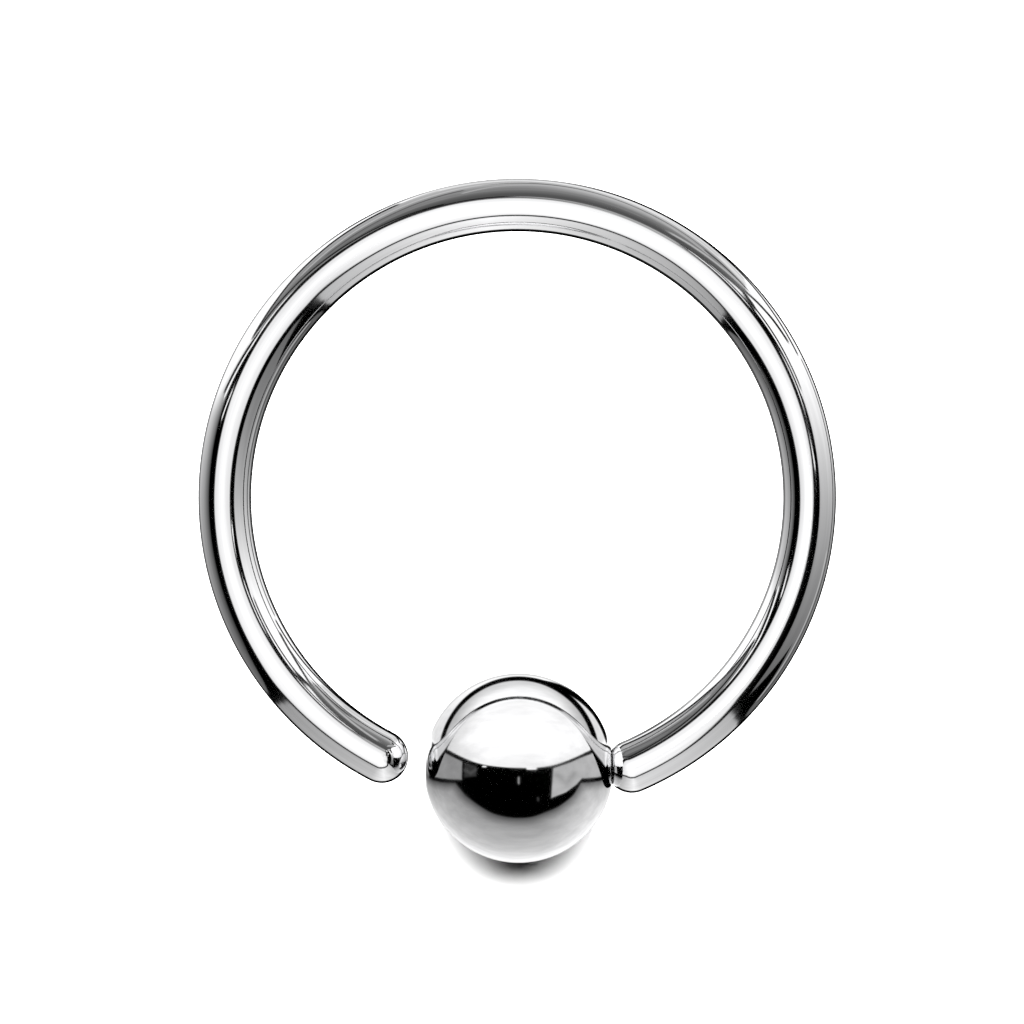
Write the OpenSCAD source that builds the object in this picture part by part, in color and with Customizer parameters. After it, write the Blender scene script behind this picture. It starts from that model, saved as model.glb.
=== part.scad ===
// Captive bead ring for a piercing: a hoop of round wire, open by a small gap, with a round bead
// fixed on one of its ends. The ring lies on its side, as it comes to rest on a flat surface:
// the bead touches the surface at -Y, and the wire touches it at +Y.
// Millimetres, +Z up. The origin is on the surface, under the middle of the ring's outline.

/* [Ring] */
// Diameter of the round wire, 20 gauge
wire_d = 0.8; // [0.6:0.05:0.9]
// Inside diameter of the hoop, 5/16 inch
inner_d = 8; // [7.5:0.5:12]
// Angle at the hoop's centre, from the bead's side to the middle of the free end's rounding
free_end_angle = 27.6; // [27.6:0.2:40]
// The same angle for the end that holds the bead
fixed_end_angle = 23.1; // [21:0.1:24]

/* [Bead] */
// Diameter of the bead
bead_d = 2.85; // [2.5:0.05:2.9]
// Distance from the hoop's centre to the bead's centre, as a share of the hoop's mean radius
bead_place = 0.925; // [0.9:0.005:0.95]
// How far the rounded end of the wire sits inside the bead's outline
seat_depth = 0.12; // [0.08:0.01:0.16]

/* [Post] */
// Diameter of the post that the wire is turned down to, inside the bead
post_d = 0.4; // [0.3:0.05:0.5]
// Length of the post beyond the rounded end
post_l = 1.2; // [0.8:0.1:1.6]
// Gap all round between the wire and the bead
fit_gap = 0.015; // [0.01:0.005:0.03]

/* [Hidden] */
$fn = 96;

// The rounded ends are smaller than the wire by this much, a shoulder too fine to see.
rounding_shoulder = 0.001;
wire_r = wire_d / 2;
bead_r = bead_d / 2;
mean_r = inner_d / 2 + wire_r;

// In the hoop's own plane, the hoop's centre is at 0, 0 and the bead is towards -Y.
bead_side = -90;
fixed_end_at = bead_side + fixed_end_angle;
arc_sweep = 360 - fixed_end_angle - free_end_angle;
free_end_at = fixed_end_at + arc_sweep;
fixed_end = mean_r * [cos(fixed_end_at), sin(fixed_end_at)];

// The bead's centre is a set distance from the middle of the fixed end's rounding.
end_to_bead = bead_r + wire_r - seat_depth;
bead_y = -bead_place * mean_r;
bead_x = fixed_end.x - sqrt(end_to_bead ^ 2 - (fixed_end.y - bead_y) ^ 2);
seat_axis = atan2(fixed_end.y - bead_y, fixed_end.x - bead_x);

// The hoop leans from the top of the bead's half height down to the wire's half height.
lean = asin((bead_r - wire_r) / (mean_r - bead_y));
hoop_z = wire_r + mean_r * sin(lean);
outline_top = mean_r * cos(lean) + wire_r;
outline_bottom = bead_y * cos(lean) - bead_r;
hoop_y = -(outline_top + outline_bottom) / 2;

// Lays what is drawn in the hoop's plane down on the surface.
module laid_down() {
    translate([0, hoop_y, hoop_z])
        rotate([-lean, 0, 0])
            children();
}

// The bent wire, cut square at both ends.
module bent_wire() {
    rotate([0, 0, fixed_end_at])
        rotate_extrude(angle = arc_sweep)
            translate([mean_r, 0])
                circle(r = wire_r);
}

// The rounding of a wire end: a ball whose poles lie along the wire.
module end_rounding(angle) {
    rotate([0, 0, angle])
        translate([mean_r, 0, 0])
            rotate([90, 0, 0])
                sphere(r = wire_r - rounding_shoulder);
}

// The thin post that goes from the fixed end's rounding into the bead.
module post() {
    translate([fixed_end.x, fixed_end.y, 0])
        rotate([0, -90, seat_axis])
            translate([0, 0, wire_r / 2])
                cylinder(d = post_d, h = wire_r / 2 + post_l);
}

// The dimple that takes a rounded wire end, on the side of the bead that faces +X.
module dimple() {
    translate([end_to_bead, 0, 0])
        sphere(r = wire_r + fit_gap);
}

// The blind hole for the post, from inside the dimple.
module post_hole() {
    hole_l = wire_r + post_l + fit_gap;
    translate([end_to_bead - hole_l, 0, 0])
        rotate([0, 90, 0])
            cylinder(d = post_d + 2 * fit_gap, h = hole_l);
}

module ring() {
    color("silver")
        laid_down()
            union() {
                bent_wire();
                end_rounding(fixed_end_at);
                end_rounding(free_end_at);
                post();
            }
}

// The ball is turned a quarter round its own axis, which keeps its seam clear of the dimples.
module bead() {
    color("gainsboro")
        laid_down()
            translate([bead_x, bead_y, 0])
                rotate([0, 0, seat_axis])
                    difference() {
                        rotate([0, 0, 90])
                            sphere(r = bead_r);
                        dimple();
                        mirror([1, 0, 0]) dimple();
                        post_hole();
                    }
}

ring();
bead();
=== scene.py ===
"""Looks of a captive bead ring: polished steel wire with a bead fixed on one end, lying on its side.

Everything is in metres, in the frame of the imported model: +Z up, the bead towards -Y.
"""

import math

import bpy
import numpy as np
from mathutils import Matrix, Vector


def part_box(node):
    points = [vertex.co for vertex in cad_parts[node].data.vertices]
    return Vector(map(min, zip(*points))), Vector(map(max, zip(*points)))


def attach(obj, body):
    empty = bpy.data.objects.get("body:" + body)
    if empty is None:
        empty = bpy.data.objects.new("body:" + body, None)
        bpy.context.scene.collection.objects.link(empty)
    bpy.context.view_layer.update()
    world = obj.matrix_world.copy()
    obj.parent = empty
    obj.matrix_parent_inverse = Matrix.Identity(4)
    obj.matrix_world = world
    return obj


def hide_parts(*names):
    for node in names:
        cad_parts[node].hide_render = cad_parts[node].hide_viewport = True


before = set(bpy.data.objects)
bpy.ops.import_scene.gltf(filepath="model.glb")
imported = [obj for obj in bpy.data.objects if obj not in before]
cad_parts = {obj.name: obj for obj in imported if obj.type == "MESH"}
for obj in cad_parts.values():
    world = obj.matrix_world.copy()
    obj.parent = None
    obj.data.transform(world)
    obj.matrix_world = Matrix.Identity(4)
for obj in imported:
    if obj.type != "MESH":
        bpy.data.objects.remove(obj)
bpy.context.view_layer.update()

MM = 0.001

# Driving sizes of the ring, the same as in the part's source
WIRE_D = 0.8 * MM
INNER_D = 8.0 * MM
FREE_END_ANGLE = math.radians(27.6)
FIXED_END_ANGLE = math.radians(23.1)
BEAD_D = 2.85 * MM
BEAD_PLACE = 0.925
SEAT_DEPTH = 0.12 * MM
POST_D = 0.4 * MM
POST_L = 1.2 * MM
FIT_GAP = 0.015 * MM

# Sizes worked out from them, in the hoop's own plane, with the hoop's centre at 0, 0
WIRE_R = WIRE_D / 2
BEAD_R = BEAD_D / 2
MEAN_R = INNER_D / 2 + WIRE_R
FIXED_END_AT = FIXED_END_ANGLE - math.pi / 2
FREE_END_AT = math.pi * 1.5 - FREE_END_ANGLE
FIXED_END = Vector((MEAN_R * math.cos(FIXED_END_AT), MEAN_R * math.sin(FIXED_END_AT)))
END_TO_BEAD = BEAD_R + WIRE_R - SEAT_DEPTH
BEAD_Y = -BEAD_PLACE * MEAN_R
BEAD_X = FIXED_END.x - math.sqrt(END_TO_BEAD ** 2 - (FIXED_END.y - BEAD_Y) ** 2)
SEAT_AXIS = math.atan2(FIXED_END.y - BEAD_Y, FIXED_END.x - BEAD_X)

# The hoop's plane leans from the bead, which rests on the floor, down to the wire opposite it.
LEAN = math.asin((BEAD_R - WIRE_R) / (MEAN_R - BEAD_Y))
RIGHT = np.array((1.0, 0.0, 0.0))
UP = np.array((0.0, math.cos(LEAN), -math.sin(LEAN)))
FACING = np.array((0.0, math.sin(LEAN), math.cos(LEAN)))


def hoop_centre():
    """The hoop's centre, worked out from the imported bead, which is a ball of known place."""
    low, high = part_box("bead")
    bead_centre = np.array((0.0, (low.y + high.y) / 2, (low.z + high.z) / 2))
    return bead_centre - BEAD_Y * UP


CENTRE = hoop_centre()


def laid_down(points):
    """Points in the hoop's own plane and above it, taken to the row frame."""
    points = np.asarray(points, float)
    return CENTRE + points @ np.array((RIGHT, UP, FACING))


# Mesh building

WIRE_SIDES = 128
WIRE_STEPS = 560
END_STEPS = 28
BEAD_TURNS = 288
SHARP_ANGLE = math.radians(30)
POST_CHAMFER = POST_D / 12


def add_mesh(name, points, faces):
    """A closed mesh with smooth faces and sharp creases, at the origin of the row frame."""
    mesh = bpy.data.meshes.new(name)
    mesh.from_pydata(points.tolist(), [], faces)
    mesh.validate()
    mesh.shade_smooth()
    mesh.set_sharp_from_angle(angle=SHARP_ANGLE)
    obj = bpy.data.objects.new(name, mesh)
    bpy.context.scene.collection.objects.link(obj)
    return obj


def tube_faces(rings, sides):
    """Quads between neighbouring rings of points, and a fan to one more point at each end."""
    faces = []
    for ring in range(rings - 1):
        for side in range(sides):
            here = ring * sides + side
            beside = ring * sides + (side + 1) % sides
            faces.append((here, beside, beside + sides, here + sides))
    first_pole = rings * sides
    last_pole = first_pole + 1
    last_ring = (rings - 1) * sides
    for side in range(sides):
        beside = (side + 1) % sides
        faces.append((first_pole, beside, side))
        faces.append((last_pole, last_ring + side, last_ring + beside))
    return faces


def circle_points(centre, axis_angle, radius, sides):
    """A circle round an axis that lies in the hoop's plane, at axis_angle in that plane."""
    turn = np.linspace(0, 2 * math.pi, sides, endpoint=False)
    outward = np.array((math.sin(axis_angle), -math.cos(axis_angle), 0.0))
    across = np.outer(np.cos(turn), outward) + np.outer(np.sin(turn), (0.0, 0.0, 1.0))
    return np.asarray(centre) + radius * across


def in_plane(angle):
    return np.array((math.cos(angle), math.sin(angle), 0.0))


def wire_rings():
    """Circles along the wire, from inside the bead to the free end: centre, axis angle, radius."""
    fixed_centre = MEAN_R * in_plane(FIXED_END_AT)
    free_centre = MEAN_R * in_plane(FREE_END_AT)
    post_axis = SEAT_AXIS + math.pi
    end_axis = FIXED_END_AT - math.pi / 2
    neck_angle = math.asin(POST_D / WIRE_D)
    rings = []
    post_reach = WIRE_R + POST_L
    post_end = ((post_reach, POST_D / 2 - POST_CHAMFER), (post_reach - POST_CHAMFER, POST_D / 2))
    for reach, radius in post_end:
        rings.append((fixed_centre + reach * in_plane(post_axis), post_axis + math.pi, radius))
    for step in range(END_STEPS):
        share = step / END_STEPS
        opening = neck_angle + share * (math.pi / 2 - neck_angle)
        axis = post_axis + share * (end_axis + 2 * math.pi - post_axis)
        centre = fixed_centre + WIRE_R * math.cos(opening) * in_plane(axis)
        rings.append((centre, axis + math.pi, WIRE_R * math.sin(opening)))
    for angle in np.linspace(FIXED_END_AT, FREE_END_AT, WIRE_STEPS + 1):
        rings.append((MEAN_R * in_plane(angle), angle + math.pi / 2, WIRE_R))
    free_axis = FREE_END_AT + math.pi / 2
    for step in range(1, END_STEPS):
        opening = math.pi / 2 * (1 - step / END_STEPS)
        centre = free_centre + WIRE_R * math.cos(opening) * in_plane(free_axis)
        rings.append((centre, free_axis, WIRE_R * math.sin(opening)))
    first_pole = fixed_centre + post_reach * in_plane(post_axis)
    last_pole = free_centre + WIRE_R * in_plane(free_axis)
    return rings, first_pole, last_pole


def store_texture_place(obj, places):
    """Keeps a place in millimetres for each point, which the material's patterns are laid on."""
    attribute = obj.data.attributes.new("texture_place", "FLOAT_VECTOR", "POINT")
    attribute.data.foreach_set("vector", (places / MM).ravel())


def round_section(along, radius, turn):
    """A circle of points round the X axis, at a place along it."""
    return np.column_stack((np.full(len(turn), along), radius * np.cos(turn), radius * np.sin(turn)))


def make_ring():
    """The bent wire with a rounded free end, a rounded seated end and the post inside the bead."""
    rings, first_pole, last_pole = wire_rings()
    circles = [circle_points(centre, axis, radius, WIRE_SIDES) for centre, axis, radius in rings]
    points = np.vstack(circles + [first_pole, last_pole])
    ring = add_mesh("steel_ring", laid_down(points), tube_faces(len(rings), WIRE_SIDES))
    store_texture_place(ring, unrolled(rings, first_pole, last_pole))
    return ring


def unrolled(rings, first_pole, last_pole):
    """Places on the wire as if it were straight: its length along X, and the turn round it in Y and Z."""
    centres = np.array([centre for centre, axis, radius in rings])
    steps = np.linalg.norm(np.diff(centres, axis=0), axis=1)
    along = np.concatenate(((0.0,), np.cumsum(steps)))
    turn = np.linspace(0, 2 * math.pi, WIRE_SIDES, endpoint=False)
    places = []
    for (centre, axis, radius), length in zip(rings, along):
        places.append(round_section(length, radius, turn))
    places.append(((along[0], 0.0, 0.0), (along[-1], 0.0, 0.0)))
    return np.vstack(places)


# The bead

RIM_EASE = 0.012 * MM
ROUND_STEPS = 150
DIMPLE_STEPS = 14


def arc_points(centre, radius, start, end, steps):
    """Points of an arc on the lathe's drawing, X along the seat axis and Y outwards from it."""
    angles = np.linspace(start, end, steps + 1)
    return np.column_stack((centre + radius * np.cos(angles), radius * np.sin(angles)))


def bead_outline():
    """Half the bead's section, from the pole of the open dimple round to the end of the post's hole."""
    dimple_r = WIRE_R + FIT_GAP
    rim_x = (BEAD_R ** 2 - dimple_r ** 2 + END_TO_BEAD ** 2) / (2 * END_TO_BEAD)
    rim_y = math.sqrt(BEAD_R ** 2 - rim_x ** 2)
    rim_on_ball = math.atan2(rim_y, rim_x) + RIM_EASE / BEAD_R
    rim_in_dimple = math.atan2(rim_y, END_TO_BEAD - rim_x) - RIM_EASE / dimple_r
    hole_r = POST_D / 2 + FIT_GAP
    hole_mouth = math.asin(hole_r / dimple_r)
    hole_end = END_TO_BEAD - (WIRE_R + POST_L + FIT_GAP)
    open_dimple = arc_points(-END_TO_BEAD, dimple_r, 0.0, rim_in_dimple, DIMPLE_STEPS)[1:]
    ball = arc_points(0.0, BEAD_R, math.pi - rim_on_ball, rim_on_ball, ROUND_STEPS)
    seat = arc_points(END_TO_BEAD, dimple_r, math.pi - rim_in_dimple, math.pi - hole_mouth, DIMPLE_STEPS)
    hole = np.array(((hole_end, hole_r),))
    outline = np.vstack((open_dimple, ball, seat, hole))
    return outline, dimple_r - END_TO_BEAD, hole_end


def make_bead():
    """The ball with a dimple on each side and the blind hole that takes the post."""
    outline, first_pole, last_pole = bead_outline()
    turn = np.linspace(0, 2 * math.pi, BEAD_TURNS, endpoint=False)
    rings = [round_section(along, radius, turn) for along, radius in outline]
    points = np.vstack(rings + [((first_pole, 0.0, 0.0), (last_pole, 0.0, 0.0))])
    seat = in_plane(SEAT_AXIS)
    side = in_plane(SEAT_AXIS + math.pi / 2)
    placed = (BEAD_X, BEAD_Y, 0.0) + points @ np.array((seat, side, (0.0, 0.0, 1.0)))
    bead = add_mesh("steel_bead", laid_down(placed), tube_faces(len(rings), BEAD_TURNS))
    store_texture_place(bead, points)
    return bead


# Materials

# Noise mostly stays between these two values.
NOISE_SPAN = (0.3, 0.7)
EVEN = (1.0, 1.0, 1.0)
MARK_DETAIL = 3.0
WAVE_DETAIL = 1.0
ROUGHNESS_SPAN = (0.05, 0.09)
STEEL_DARK = (0.585, 0.585, 0.59, 1.0)
STEEL_LIGHT = (0.69, 0.69, 0.695, 1.0)


def new_material(name):
    material = bpy.data.materials.new(name)
    material.use_nodes = True
    return material, material.node_tree.nodes, material.node_tree.links


def add_noise(nodes, links, place, stretch, scale, detail):
    """Noise laid on the piece's own texture place, stretched along its axes."""
    mapping = nodes.new("ShaderNodeMapping")
    mapping.inputs["Scale"].default_value = stretch
    links.new(place, mapping.inputs["Vector"])
    noise = nodes.new("ShaderNodeTexNoise")
    noise.inputs["Scale"].default_value = scale
    noise.inputs["Detail"].default_value = detail
    links.new(mapping.outputs["Vector"], noise.inputs["Vector"])
    return noise.outputs["Fac"]


def add_range(nodes, links, value, low, high):
    """Spreads a noise over the range low to high."""
    spread = nodes.new("ShaderNodeMapRange")
    spread.inputs["From Min"].default_value = NOISE_SPAN[0]
    spread.inputs["From Max"].default_value = NOISE_SPAN[1]
    spread.inputs["To Min"].default_value = low
    spread.inputs["To Max"].default_value = high
    links.new(value, spread.inputs["Value"])
    return spread.outputs["Result"]


def make_steel(name, mark_stretch, mark_scale, mark_depth, wave_scale, wave_depth):
    """Mirror-polished steel: faint polishing marks, a slow waviness and an uneven gloss."""
    material, nodes, links = new_material(name)
    shader = nodes["Principled BSDF"]
    shader.inputs["Metallic"].default_value = 1.0
    place = nodes.new("ShaderNodeAttribute")
    place.attribute_name = "texture_place"
    marks = add_noise(nodes, links, place.outputs["Vector"], mark_stretch, mark_scale, MARK_DETAIL)
    waves = add_noise(nodes, links, place.outputs["Vector"], EVEN, wave_scale, WAVE_DETAIL)
    tint = nodes.new("ShaderNodeMix")
    tint.data_type = "RGBA"
    tint.inputs["A"].default_value = STEEL_DARK
    tint.inputs["B"].default_value = STEEL_LIGHT
    links.new(add_range(nodes, links, marks, 0.0, 1.0), tint.inputs["Factor"])
    links.new(tint.outputs["Result"], shader.inputs["Base Color"])
    links.new(add_range(nodes, links, waves, *ROUGHNESS_SPAN), shader.inputs["Roughness"])
    wave_bump = nodes.new("ShaderNodeBump")
    wave_bump.inputs["Distance"].default_value = wave_depth
    links.new(waves, wave_bump.inputs["Height"])
    mark_bump = nodes.new("ShaderNodeBump")
    mark_bump.inputs["Distance"].default_value = mark_depth
    links.new(marks, mark_bump.inputs["Height"])
    links.new(wave_bump.outputs["Normal"], mark_bump.inputs["Normal"])
    links.new(mark_bump.outputs["Normal"], shader.inputs["Normal"])
    return material


def make_wire_steel():
    """Drawing marks run along the wire."""
    return make_steel("polished_wire_steel", (0.15, 5.0, 5.0), 2.5, 0.0003 * MM, 1.5, 0.0004 * MM)


def make_bead_steel():
    """Polishing marks run from one dimple to the other."""
    return make_steel("polished_bead_steel", (0.7, 3.0, 3.0), 2.5, 0.0001 * MM, 2.0, 0.0004 * MM)


# What the polished steel mirrors: a dome of panels for each piece

DOME_RADIUS = 0.3
BEAD_DOME_RADIUS = 0.33
SOFTBOX_LOW = 0.042
SOFTBOX_LOWEST = 0.033
RING_DOME_REACHES = np.linspace(0, 1, 112)[1:-1]
RING_DOME_SIDES = 900
BEAD_DOME_REACHES = np.sin(np.linspace(0, math.pi / 2, 202)[1:-1])
BEAD_DOME_SIDES = 480
REFLECTANCE = 0.64
WHITE = 1.05
BLACK = 0.0


def fade(value, start, end):
    """0 before start and 1 after end, with a smooth change between them."""
    share = np.clip((value - start) / (end - start), 0.0, 1.0)
    return share * share * (3.0 - 2.0 * share)


def segment_distance(places, start, end):
    """Distance of each place from a straight piece between two points."""
    reach = end - start
    share = np.clip(((places - start) @ reach) / max(reach @ reach, 1e-12), 0.0, 1.0)
    return np.linalg.norm(places - start - share[:, None] * reach, axis=1)


def line_distance(places, line):
    nearest = np.full(len(places), np.inf)
    for start, end in zip(line[:-1], line[1:]):
        nearest = np.minimum(nearest, segment_distance(places, start, end))
    return nearest


def is_inside(places, outline):
    """Whether each place lies inside a closed outline."""
    inside = np.zeros(len(places), bool)
    for start, end in zip(outline, np.roll(outline, -1, axis=0)):
        spans = (start[1] > places[:, 1]) != (end[1] > places[:, 1])
        rise = end[1] - start[1]
        if rise == 0:
            continue
        crossing = start[0] + (places[:, 1] - start[1]) * (end[0] - start[0]) / rise
        inside ^= spans & (places[:, 0] < crossing)
    return inside


def curve(points, steps=8):
    """A smooth open curve through a few points."""
    points = np.asarray(points, float)
    padded = np.vstack((2 * points[0] - points[1], points, 2 * points[-1] - points[-2]))
    share = np.linspace(0, 1, steps, endpoint=False)[:, None]
    pieces = []
    for before, here, there, after in zip(padded, padded[1:], padded[2:], padded[3:]):
        slope_here = (there - before) / 2
        slope_there = (after - here) / 2
        gap = there - here
        pieces.append(here + share * slope_here + share ** 2 * (3 * gap - 2 * slope_here - slope_there)
                      + share ** 3 * (slope_here + slope_there - 2 * gap))
    return np.vstack(pieces + [points[-1:]])


def turned(points):
    """Places given as a turn in degrees and a distance from the middle."""
    turn = np.radians(points[:, 0])
    return np.column_stack((points[:, 1] * np.cos(turn), points[:, 1] * np.sin(turn)))


def polar(points, steps=10):
    """A line through points given as a turn and a distance, even in both between them."""
    points = np.asarray(points, float)
    share = np.linspace(0, 1, steps, endpoint=False)[:, None]
    pieces = [here + share * (there - here) for here, there in zip(points[:-1], points[1:])]
    return turned(np.vstack(pieces + [points[-1:]]))


def along_wire(points):
    """Places given as a turn and a distance from the middle, spread out as the wire shows them."""
    points = np.asarray(points, float)
    return np.column_stack((np.radians(points[:, 0]) * MEAN_R / WIRE_R, points[:, 1]))


class Surroundings:
    """Brightness round a piece, by where a mirror ball under the camera would show it.

    A place is across and up on the ball's picture, from -1 to 1. A brightness is the one that
    polished steel shows on the screen, from 0 to 1.
    """

    def __init__(self, places, brightness):
        self.places = places
        self.radius = np.linalg.norm(places, axis=1)
        self.turn = np.degrees(np.arctan2(places[:, 1], places[:, 0]))
        self.shown = np.full(len(places), brightness)

    def measure_along_wire(self, seam):
        """From here on, outlines are measured as the wire shows them, cut open at one turn."""
        self.turn = np.mod(self.turn - seam, 360) + seam
        self.places = along_wire(np.column_stack((self.turn, self.radius)))

    def blend_in(self, cover, brightness):
        self.shown = self.shown * (1 - cover) + brightness * cover

    def depth(self, outline):
        """How far each place is inside a closed outline, and less than 0 outside it."""
        outline = np.asarray(outline, float)
        closed = np.vstack((outline, outline[:1]))
        distance = line_distance(self.places, closed)
        return np.where(is_inside(self.places, outline), distance, -distance)

    def panel(self, outline, brightness, soft=0.012, grow=0.0):
        """Fills a closed outline, with an edge that is soft over that distance to either side."""
        self.blend_in(fade(self.depth(outline) + grow, -soft, soft), brightness)

    def stripe(self, line, width, brightness, soft=0.01):
        """Draws a line of even width."""
        distance = line_distance(self.places, np.asarray(line, float))
        self.blend_in(1 - fade(distance, width / 2 - soft, width / 2 + soft), brightness)

    def wire_panel(self, outline, brightness, soft=0.012):
        """The same as panel, with the outline given as turns in degrees and distances."""
        self.panel(along_wire(outline), brightness, soft)

    def wire_stripe(self, line, width, brightness, soft=0.01):
        """The same as stripe, with the line given as turns in degrees and distances."""
        self.stripe(along_wire(line), width, brightness, soft)

    def glow(self):
        """The light that makes polished steel show this brightness."""
        linear = np.where(self.shown > 0.04045, ((self.shown + 0.055) / 1.055) ** 2.4, self.shown / 12.92)
        return linear / REFLECTANCE


SOFTBOX_EDGE = ((-65, 0.415), (-61, 0.41), (-56, 0.40), (-50, 0.368), (-45, 0.331), (-38, 0.281),
                (-28, 0.25), (-15, 0.224), (0, 0.203), (15, 0.198), (30, 0.223), (45, 0.246), (60, 0.25),
                (75, 0.26), (90, 0.27), (105, 0.295), (120, 0.325), (135, 0.36), (150, 0.38), (165, 0.39),
                (180, 0.405), (195, 0.435), (208, 0.475), (217, 0.51), (226, 0.47), (240, 0.425),
                (256, 0.425), (273, 0.42), (287, 0.42))
# White spills over its neighbours in the picture, so the softbox is drawn this much smaller.
SPILL = 0.03


def softbox_hang(places):
    """How far off the ring's dome stands. The softbox hangs low at its right edge, in front of the flag."""
    turn = np.degrees(np.arctan2(places[:, 1], places[:, 0]))
    radius = np.linalg.norm(places, axis=1)
    edge_turns, edge_radii = np.transpose(SOFTBOX_EDGE)
    edge = np.interp(turn, edge_turns, edge_radii)
    low = fade(turn, -52, -42) * (1 - 0.15 * fade(turn, 0, 12)) * (1 - fade(turn, 44, 58))
    low = low * fade(radius, 0.03, 0.09) * (1 - fade(radius, edge, edge + 0.03))
    lowest = SOFTBOX_LOWEST + (SOFTBOX_LOW - SOFTBOX_LOWEST) * fade(turn, -20, 0)
    return DOME_RADIUS + (lowest - DOME_RADIUS) * low


def ring_surroundings(places, again=False):
    """The wire mirrors a softbox overhead, black flags beside it and grey cards around."""
    if again:
        return wire_in_bead(places)
    view = Surroundings(places, WHITE)
    view.measure_along_wire(-90)
    add_grey_cards(view)
    add_top_card(view)
    add_flags(view)
    add_glints(view)
    add_floor_shade_rim(view)
    view.measure_along_wire(90)
    add_bottom_card(view)
    view.places = places
    view.turn = np.mod(view.turn + 90, 360) - 90
    softbox = turned(curve(SOFTBOX_EDGE, 5))
    outlined = np.interp(view.turn, (42, 56, 75, 100, 120), (0.06, 0.60, 0.60, 0.30, 0.06))
    view.panel(softbox, outlined, 0.012, 0.012)
    depth = view.depth(softbox)
    bright = np.interp(depth, (SPILL, 0.06, 0.12, 0.20, 0.30), (0.78, 0.90, 0.93, 0.99, WHITE))
    bright = np.minimum(bright + 0.07 * np.sin(np.radians(view.turn)) ** 4, WHITE)
    view.panel(softbox, bright, 0.014, -SPILL)
    return view.glow()


def wire_in_bead(places):
    """What the wire shows of its surroundings where the bead or the wire itself mirrors it.

    It is pale towards the top, and black elsewhere and at the rim.
    """
    view = Surroundings(places, 0.78)
    from_bottom = np.abs(np.mod(view.turn + 270, 360) - 180)
    view.blend_in(1 - fade(from_bottom, 103, 125), BLACK)
    view.blend_in(fade(from_bottom, 155, 172), 0.94)
    view.blend_in(fade(view.radius, 0.86, 0.92), BLACK)
    return view.glow() / REFLECTANCE


def add_grey_cards(view):
    """Grey cards at the right and left, brighter away from the flags."""
    right_grey = np.interp(view.turn, (-45, -30, -15, 0, 15, 28), (0.34, 0.44, 0.55, 0.71, 0.92, WHITE))
    view.wire_panel([(-45, 0.30), (32, 0.30), (32, 0.94), (-45, 0.94)], right_grey, 0.02)
    view.wire_stripe([(-40, 0.86), (0, 0.86), (26, 0.865)], 0.032, 0.28)
    view.wire_stripe([(-40, 0.80), (-10, 0.80)], 0.03, 0.75, 0.02)
    turns = (150, 165, 180, 195, 210, 221)
    black_until = np.interp(view.turn, turns, (0.50, 0.555, 0.565, 0.585, 0.615, 0.68))
    brightest = np.interp(view.turn, turns, (1.4, 0.84, 0.71, 0.62, 0.50, 0.46))
    left_grey = brightest * np.clip((view.radius - black_until) / 0.34, 0.0, 1.0) ** 0.36
    left_grey = np.minimum(left_grey, WHITE)
    view.wire_panel([(150, 0.36), (221, 0.36), (221, 0.95), (150, 0.95)], left_grey, 0.02)


def add_top_card(view):
    """The dark card at the top, shaped like a lens, with streaks of light along it."""
    lens = along_wire([(42, 0.56), (41, 0.46), (47, 0.36), (56, 0.29), (75, 0.25), (105, 0.25),
                       (125, 0.33), (136, 0.42), (143, 0.50), (149, 0.585), (141, 0.67), (134, 0.765),
                       (125, 0.825), (112, 0.875), (105, 0.92), (90, 0.945), (60, 0.93), (50, 0.90),
                       (44, 0.84)])
    grey = np.interp(view.radius, (0.26, 0.30, 0.40, 0.46, 0.54, 0.62, 0.70, 0.78, 0.85, 0.90, 0.945),
                     (0.36, 0.29, 0.30, 0.35, 0.43, 0.50, 0.58, 0.65, 0.68, 0.80, 0.88))
    grey = grey + 0.02 + 0.10 * fade(view.radius, 0.55, 0.72) * (1 - fade(view.turn, 68, 90))
    view.panel(lens, grey)
    add_streaks(view)
    glare = along_wire([(110, 0.335), (122, 0.37), (136, 0.44), (150, 0.50), (150, 0.55), (136, 0.49),
                        (122, 0.40), (110, 0.36)])
    view.panel(glare, 0.52)
    view.wire_stripe([(47, 0.275), (60, 0.285), (78, 0.285), (90, 0.28)], 0.04, 0.66, 0.02)
    add_card_edges(view)


def add_streaks(view):
    """Soft streaks on the top card, as of cloth with a few folds."""
    view.wire_stripe([(44, 0.70), (50, 0.76), (62, 0.84), (82, 0.90), (104, 0.885)], 0.024, 0.94, 0.014)
    view.wire_stripe([(46, 0.645), (60, 0.735), (78, 0.81), (96, 0.80)], 0.024, 0.36, 0.014)
    view.wire_stripe([(52, 0.60), (66, 0.70), (84, 0.76), (94, 0.70), (100, 0.60)], 0.03, 0.72, 0.018)
    view.wire_stripe([(88, 0.84), (104, 0.77), (120, 0.70), (134, 0.63)], 0.026, 0.80, 0.016)
    view.wire_stripe([(100, 0.70), (114, 0.62), (128, 0.57)], 0.028, 0.30, 0.018)
    view.wire_stripe([(66, 0.52), (84, 0.57), (104, 0.54), (122, 0.50)], 0.03, 0.50, 0.02)
    view.wire_stripe([(43, 0.60), (50, 0.54), (60, 0.47)], 0.065, 0.72, 0.02)
    view.wire_stripe([(43, 0.745), (50, 0.80)], 0.07, 0.90, 0.02)
    view.wire_stripe([(42, 0.645), (53, 0.65)], 0.025, 0.10)


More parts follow.
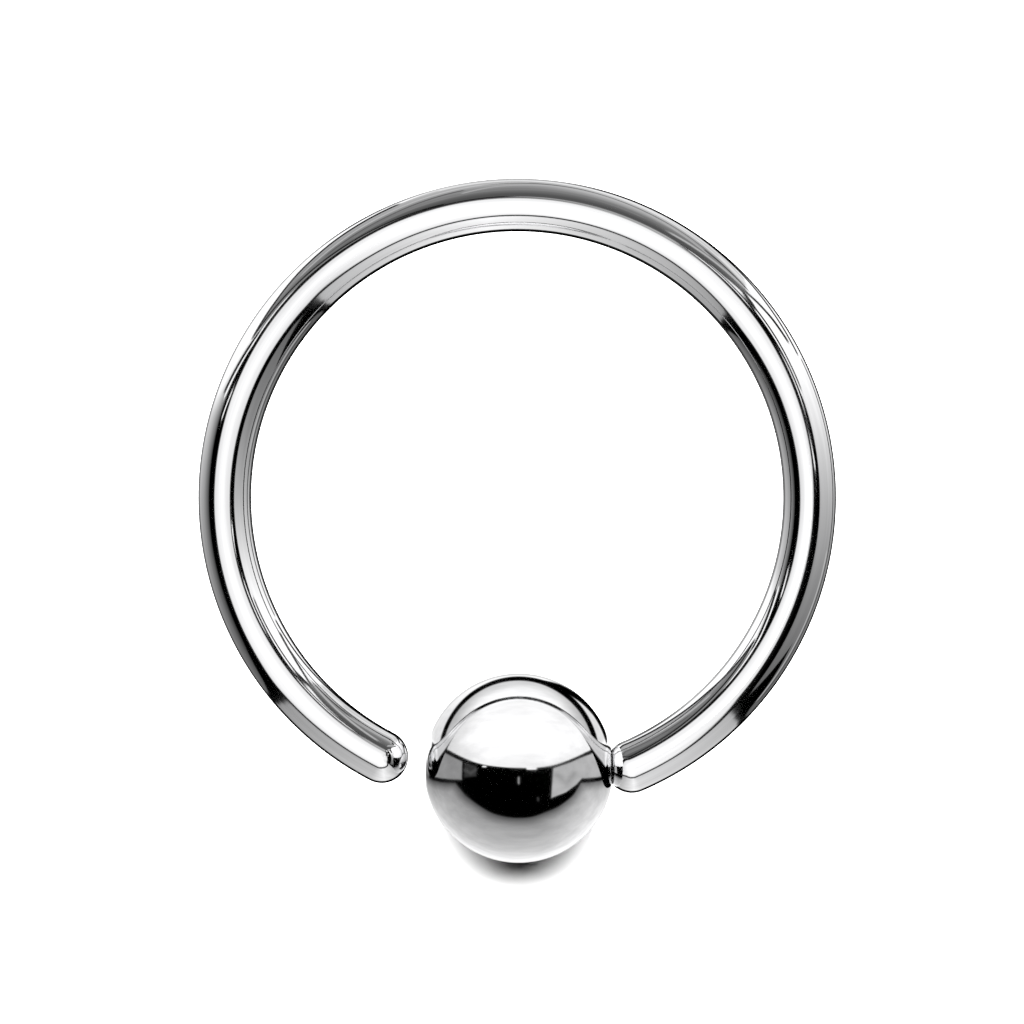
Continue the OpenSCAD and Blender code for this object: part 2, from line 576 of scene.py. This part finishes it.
def add_card_edges(view):
    """Dark lines along the edges of the top card."""
    view.wire_stripe([(104, 0.345), (112, 0.375), (122, 0.43), (136, 0.52), (149, 0.595)], 0.04, 0.03)
    view.wire_stripe([(92, 0.29), (105, 0.30), (120, 0.34), (135, 0.39), (150, 0.42)], 0.054, 0.03)
    view.wire_stripe([(112, 0.875), (125, 0.83), (134, 0.77), (141, 0.68), (149, 0.60)], 0.054, 0.02)
    view.wire_stripe([(27, 0.82), (36, 0.855), (45, 0.90), (55, 0.935), (76, 0.955)], 0.046, 0.02)


def add_flags(view):
    """Black flags beside the softbox, and the wedges that end them."""
    right_flag = along_wire([(-62, 0.34), (-45.2, 0.40), (-45.8, 0.90), (-44.5, 0.90), (-42, 0.80),
                             (-28, 0.70), (-40, 0.45), (-38, 0.41), (-15, 0.38), (0, 0.366), (15, 0.36),
                             (40, 0.342), (57, 0.325), (57, 0.20), (-62, 0.12)])
    view.panel(right_flag, BLACK)
    left_flag = along_wire([(146, 0.36), (150, 0.45), (165, 0.545), (180, 0.57), (206, 0.60), (215.7, 0.76),
                            (218.7, 0.90), (221.5, 0.90), (222.2, 0.30), (146, 0.30)])
    view.panel(left_flag, BLACK)


def add_bottom_card(view):
    """The pale card at the bottom, in a black frame."""
    pale = 0.97 - 0.0067 * np.abs(view.turn - 276)
    view.wire_panel([(218, 0.30), (316.5, 0.30), (316.5, 0.95), (218, 0.95)], BLACK, 0.008)
    view.wire_panel([(222.2, 0.30), (315.3, 0.30), (314.3, 0.912), (220.7, 0.912)], pale)


def add_glints(view):
    """Short glints and dark gaps where the flags and cards overlap."""
    view.wire_stripe([(21, 0.405), (30, 0.415), (40, 0.415)], 0.046, BLACK)
    view.wire_stripe([(17.5, 0.262), (21, 0.272), (28, 0.278)], 0.034, WHITE)
    view.wire_stripe([(20, 0.355), (30, 0.365), (39, 0.365)], 0.026, WHITE)
    view.wire_stripe([(40, 0.29), (55, 0.295)], 0.030, WHITE)
    view.wire_stripe([(41, 0.355), (50, 0.35)], 0.022, 0.85)
    view.wire_stripe([(6, 0.24), (12, 0.20)], 0.05, WHITE)
    view.wire_stripe([(30, 0.73), (35, 0.69), (39, 0.62), (42, 0.54)], 0.068, BLACK)
    view.wire_panel([(38, 0.33), (41.5, 0.33), (42.5, 0.50), (39, 0.47)], BLACK)
    view.wire_stripe([(147, 0.50), (153, 0.58), (160, 0.68)], 0.066, BLACK)
    view.wire_stripe([(150, 0.475), (156, 0.55), (161, 0.62)], 0.042, WHITE)
    view.wire_stripe([(159, 0.42), (165, 0.48)], 0.038, WHITE)


def add_floor_shade_rim(view):
    """The floor close under the ring, with painted shade as of the ring's own shadow, which outlines the
    wire.
    """
    turns = (-90, -60, -45, -30, 0, 30, 45, 60, 70, 82, 105, 120, 130, 150, 180, 210, 240, 270)
    shades = (0, 0, 0.03, 0.13, 0.24, 0.20, 0.05, 0, 0.10, 0.65, 0.76, 0.34, 0.70, 0.62, 0.42, 0.26, 0.10, 0)
    shade = np.interp(view.turn, turns, shades)
    # Painted shade: the floor under the ring, deep at most turns and light at a few, blended in at the
    # dome's rim.
    view.blend_in(fade(view.radius, 0.915, 0.94), shade)


EDGE_WHITE = 0.97
ARCH_CENTRE = 0.12
ARCH_RADIUS = 0.829
BEAD_LOW_EDGE = ((-0.79, 0.196), (-0.60, 0.117), (-0.41, 0.055), (-0.21, 0.028), (0.0, 0.018), (0.21, 0.021),
                 (0.37, 0.042), (0.53, 0.090), (0.78, 0.181))
BEAD_TOP_EDGE = ((0.79, 0.26), (0.66, 0.44), (0.40, 0.63), (0.0, 0.72), (-0.40, 0.63), (-0.66, 0.44),
                 (-0.79, 0.26))
BEAD_LOW_BLACK = ((-0.655, -0.163), (-0.60, -0.225), (-0.537, -0.293), (-0.403, -0.386), (-0.275, -0.457),
                  (-0.137, -0.494), (0.0, -0.505), (0.137, -0.494), (0.27, -0.45), (0.41, -0.393),
                  (0.546, -0.297), (0.605, -0.225), (0.645, -0.16))


def bead_surroundings(places, again=False):
    """The bead mirrors a softbox above, a black room in front and a pale floor below.

    What is mirrored a second time loses light twice, so it is made up for once more.
    """
    view = Surroundings(places, 1.0)
    low_edge = curve(BEAD_LOW_EDGE)
    low_black = np.vstack((((-0.93, -0.178),), curve(BEAD_LOW_BLACK), ((0.93, -0.17),)))
    add_pale_floor(view, low_black)
    add_arch(view)
    add_dark_room(view, low_edge, low_black)
    softbox = np.vstack((low_edge, curve(BEAD_TOP_EDGE)))
    bright = EDGE_WHITE + (WHITE - EDGE_WHITE) * fade(view.depth(softbox), 0.0, 0.3)
    bright = bright - 0.12 * fade(-places[:, 0], 0.35, 0.75)
    view.panel(softbox, bright, 0.008)
    return view.glow() / REFLECTANCE if again else view.glow()


def add_pale_floor(view, low_black):
    """The floor is grey near the dark room and pale towards the bead's edge."""
    beyond = line_distance(view.places, low_black)
    pale = np.interp(beyond, (0.0, 0.05, 0.10, 0.18, 0.345, 0.40, 0.455, 0.48),
                     (0.30, 0.48, 0.61, 0.67, 0.775, 0.85, 0.94, 0.975))
    pale = np.minimum(pale + 0.11 * fade(view.places[:, 0], 0.2, 0.7), 0.975)
    below = fade(-view.places[:, 1], 0.0, 0.1)
    view.blend_in(below, pale)
    # Painted shade: the floor right under the bead, where its own shadow falls, shows darker at the very
    # rim.
    view.blend_in(below * fade(view.radius, 0.98, 0.992), 0.80)


def add_arch(view):
    """A dark arch over the softbox, with a second one outside it at the right."""
    from_arch = np.hypot(view.places[:, 0], view.places[:, 1] - ARCH_CENTRE) - ARCH_RADIUS
    above = fade(view.places[:, 1], 0.20, 0.24)
    under = 1.02 - 0.20 * fade(from_arch, -0.16, -0.02) - 0.10 * fade(np.abs(view.places[:, 0]), 0.3, 0.7)
    view.blend_in(above * fade(-from_arch, 0.0, 0.02), under)
    outside = 0.97 - 0.10 * fade(-view.places[:, 0], 0.5, 0.9) - 0.10 * fade(view.places[:, 0], 0.4, 0.7)
    view.blend_in(above * fade(from_arch, 0.0, 0.02), outside)
    # Painted shade: the floor close under the bead, in its own shadow, shows darker at the very rim.
    view.blend_in(above * fade(view.radius, 0.975, 0.99), 0.78)
    thickness = 0.040 + 0.010 * fade(view.places[:, 0], 0.1, 0.5)
    view.blend_in(above * (1 - fade(np.abs(from_arch), thickness / 2 - 0.008, thickness / 2 + 0.008)), BLACK)
    view.panel(polar([(72, 0.93), (60, 0.935), (50, 0.945), (40, 0.957), (30, 0.965), (10, 0.96), (10, 1.0),
                      (30, 0.998), (45, 0.995), (60, 0.985), (72, 0.965), (84, 0.95)]), BLACK, 0.006)


def add_dark_room(view, low_edge, low_black):
    """The dark room with its grey cards at both sides."""
    room = np.vstack((low_edge, ((0.93, 0.17),), low_black[::-1], ((-0.93, 0.20),)))
    view.panel(room, BLACK, 0.008)
    view.panel(((-0.82, 0.155), (-0.592, 0.068), (-0.592, -0.125), (-0.88, -0.134)), 0.56, 0.008)
    view.panel(((-0.57, 0.06), (-0.44, 0.03), (-0.44, -0.08), (-0.57, -0.10)), 0.20, 0.012)
    view.stripe(((-0.56, -0.02), (-0.50, -0.05), (-0.45, -0.01)), 0.03, 0.30, 0.02)
    view.panel(((0.36, 0.009), (0.53, 0.059), (0.66, 0.104), (0.79, 0.14), (0.92, 0.12), (0.92, -0.13),
                (0.66, -0.115), (0.60, -0.175), (0.49, -0.25), (0.335, -0.305)), 0.71, 0.008)
    view.stripe(((0.40, -0.06), (0.50, -0.16), (0.58, -0.06)), 0.05, 0.62, 0.04)
    view.stripe(((-0.375, 0.026), (-0.345, 0.026)), 0.018, 1.0, 0.006)
    view.stripe(((0.09, 0.008), (0.18, 0.008)), 0.022, 1.0, 0.006)
    view.stripe(((0.0, -0.085), (0.0, -0.145)), 0.022, 0.55, 0.008)
    view.stripe(((0.20, -0.30), (0.20, -0.325)), 0.02, 0.25, 0.01)


def even_hang(places):
    return np.full(len(places), BEAD_DOME_RADIUS)


def make_dome(name, hang, reaches, sides, surroundings, piece):
    """A dome that only one piece mirrors. It gives no other light, and nothing else shows it."""
    turns = np.linspace(0, 2 * math.pi, sides, endpoint=False)
    places = np.stack((np.outer(reaches, np.cos(turns)), np.outer(reaches, np.sin(turns))), 2)
    places = np.vstack((places.reshape(-1, 2), ((0.0, 0.0), (1.0, 0.0))))
    tilt = np.arcsin(np.linalg.norm(places, axis=1).clip(0, 1))
    flat = places / np.maximum(np.linalg.norm(places, axis=1), 1e-9)[:, None]
    local = np.column_stack((np.sin(2 * tilt)[:, None] * flat, np.cos(2 * tilt)))
    points = CENTRE + hang(places)[:, None] * local @ np.array((RIGHT, UP, FACING))
    dome = add_mesh(name, points, tube_faces(len(reaches), sides))
    store_glow(dome, "glow", surroundings(places))
    store_glow(dome, "glow_again", surroundings(places, again=True))
    dome.data.materials.append(make_glow_material(name + "_glow"))
    dome.visible_camera = False
    dome.visible_diffuse = False
    dome.visible_shadow = False
    dome.visible_transmission = False
    dome.visible_volume_scatter = False
    mirrored_by = bpy.data.collections.new(name + "_mirrored_by")
    mirrored_by.objects.link(piece)
    dome.light_linking.receiver_collection = mirrored_by


def store_glow(dome, name, glow):
    colours = dome.data.attributes.new(name, "FLOAT_COLOR", "POINT")
    colours.data.foreach_set("color", np.column_stack((glow, glow, glow, np.ones(len(glow)))).ravel())


def make_glow_material(name):
    """Light of the dome's own colours, which lets the rest through and never reaches the floor.

    What is mirrored twice, such as the wire in the bead, shows the dome's second colours.
    """
    material, nodes, links = new_material(name)
    nodes.clear()
    ray = nodes.new("ShaderNodeLightPath")
    colours = nodes.new("ShaderNodeMix")
    colours.data_type = "RGBA"
    for socket, attribute in (("A", "glow"), ("B", "glow_again")):
        stored = nodes.new("ShaderNodeAttribute")
        stored.attribute_name = attribute
        links.new(stored.outputs["Color"], colours.inputs[socket])
    emission = nodes.new("ShaderNodeEmission")
    twice = add_comparison(nodes, links, ray.outputs["Glossy Depth"], "GREATER_THAN", 1.5)
    mirrored_only = add_comparison(nodes, links, ray.outputs["Diffuse Depth"], "LESS_THAN", 0.5)
    clear = nodes.new("ShaderNodeBsdfTransparent")
    both = nodes.new("ShaderNodeAddShader")
    output = nodes.new("ShaderNodeOutputMaterial")
    links.new(twice, colours.inputs["Factor"])
    links.new(colours.outputs["Result"], emission.inputs["Color"])
    links.new(mirrored_only, emission.inputs["Strength"])
    links.new(emission.outputs["Emission"], both.inputs[0])
    links.new(clear.outputs["BSDF"], both.inputs[1])
    links.new(both.outputs["Shader"], output.inputs["Surface"])
    material.cycles.emission_sampling = "NONE"
    return material


def add_comparison(nodes, links, value, operation, limit):
    compare = nodes.new("ShaderNodeMath")
    compare.operation = operation
    compare.inputs[1].default_value = limit
    links.new(value, compare.inputs[0])
    return compare.outputs["Value"]


# Floor, light and camera

FLOOR_SIZE = 4.0
FLOOR_COLOUR = (0.93, 0.93, 0.93, 1.0)
FLOOR_ROUGHNESS = 0.9
KEY_TILT = math.radians(26.5)
KEY_SIDE_TILTS = (-17, -8.5, 0, 8.5, 17)
KEY_SPREAD = math.radians(24)
KEY_STRENGTH = 12.5
ROOM_LIGHT = 0.01
ROOM_SEEN = 1.05


def make_floor():
    mesh = bpy.data.meshes.new("floor")
    reach = FLOOR_SIZE / 2
    corners = ((-reach, -reach, 0.0), (reach, -reach, 0.0), (reach, reach, 0.0), (-reach, reach, 0.0))
    mesh.from_pydata(corners, [], ((0, 1, 2, 3),))
    floor = bpy.data.objects.new("floor", mesh)
    bpy.context.scene.collection.objects.link(floor)
    material, nodes, links = new_material("floor_white")
    shader = nodes["Principled BSDF"]
    shader.inputs["Base Color"].default_value = FLOOR_COLOUR
    shader.inputs["Roughness"].default_value = FLOOR_ROUGHNESS
    shader.inputs["Specular IOR Level"].default_value = 0.0
    mesh.materials.append(material)
    floor.visible_glossy = False


def make_key_light(bead):
    """A long soft light high behind the hoop, made of a row of lamps. Only the bead casts its shadow."""
    casters = bpy.data.collections.new("key_light_shadow_casters")
    casters.objects.link(bead)
    for number, side_tilt in enumerate(KEY_SIDE_TILTS):
        name = f"key_light_{number}"
        light = bpy.data.lights.new(name, "SUN")
        light.energy = KEY_STRENGTH / len(KEY_SIDE_TILTS)
        light.angle = KEY_SPREAD
        lamp = bpy.data.objects.new(name, light)
        bpy.context.scene.collection.objects.link(lamp)
        lamp.rotation_euler = (-KEY_TILT, math.radians(side_tilt), 0.0)
        lamp.visible_glossy = False
        lamp.light_linking.blocker_collection = casters


def make_world():
    """White to the camera, and a weak even light for the floor. The steel doesn't mirror it."""
    world = bpy.data.worlds.new("white_room")
    world.use_nodes = True
    nodes, links = world.node_tree.nodes, world.node_tree.links
    background = nodes["Background"]
    background.inputs["Color"].default_value = (1.0, 1.0, 1.0, 1.0)
    ray = nodes.new("ShaderNodeLightPath")
    strength = nodes.new("ShaderNodeMapRange")
    strength.inputs["To Min"].default_value = ROOM_LIGHT
    strength.inputs["To Max"].default_value = ROOM_SEEN
    links.new(ray.outputs["Is Camera Ray"], strength.inputs["Value"])
    links.new(strength.outputs["Result"], background.inputs["Strength"])
    world.cycles_visibility.glossy = False
    bpy.context.scene.world = world


PIXELS = 1024
PIXELS_PER_MM = 66.46
HOOP_CENTRE_PIXEL = (517.2, 497.4)
LENS_MM = 200.0
SENSOR_MM = 36.0
CLIP_START = 1 * MM
CLIP_END = 10.0


def make_camera():
    """Looks straight down on the hoop's plane, with the hoop where the photograph has it."""
    frame_width = PIXELS / PIXELS_PER_MM * MM
    distance = LENS_MM / SENSOR_MM * frame_width
    right = (PIXELS / 2 - HOOP_CENTRE_PIXEL[0]) / PIXELS_PER_MM * MM
    up = (HOOP_CENTRE_PIXEL[1] - PIXELS / 2) / PIXELS_PER_MM * MM
    data = bpy.data.cameras.new("camera")
    data.lens = LENS_MM
    data.sensor_width = SENSOR_MM
    data.clip_start = CLIP_START
    data.clip_end = CLIP_END
    camera = bpy.data.objects.new("camera", data)
    bpy.context.scene.collection.objects.link(camera)
    place = CENTRE + right * RIGHT + up * UP + distance * FACING
    axes = Matrix((RIGHT, UP, FACING)).transposed().to_4x4()
    camera.matrix_world = Matrix.Translation(Vector(place)) @ axes
    bpy.context.scene.camera = camera


def build():
    make_camera()
    ring = make_ring()
    ring.data.materials.append(make_wire_steel())
    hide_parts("ring")
    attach(ring, "root")
    bead = make_bead()
    bead.data.materials.append(make_bead_steel())
    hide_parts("bead")
    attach(bead, "root")
    make_floor()
    make_world()
    make_key_light(bead)
    make_dome("ring_dome", softbox_hang, RING_DOME_REACHES, RING_DOME_SIDES, ring_surroundings, ring)
    make_dome("bead_dome", even_hang, BEAD_DOME_REACHES, BEAD_DOME_SIDES, bead_surroundings, bead)
    bpy.context.scene.view_settings.view_transform = "Standard"


build()
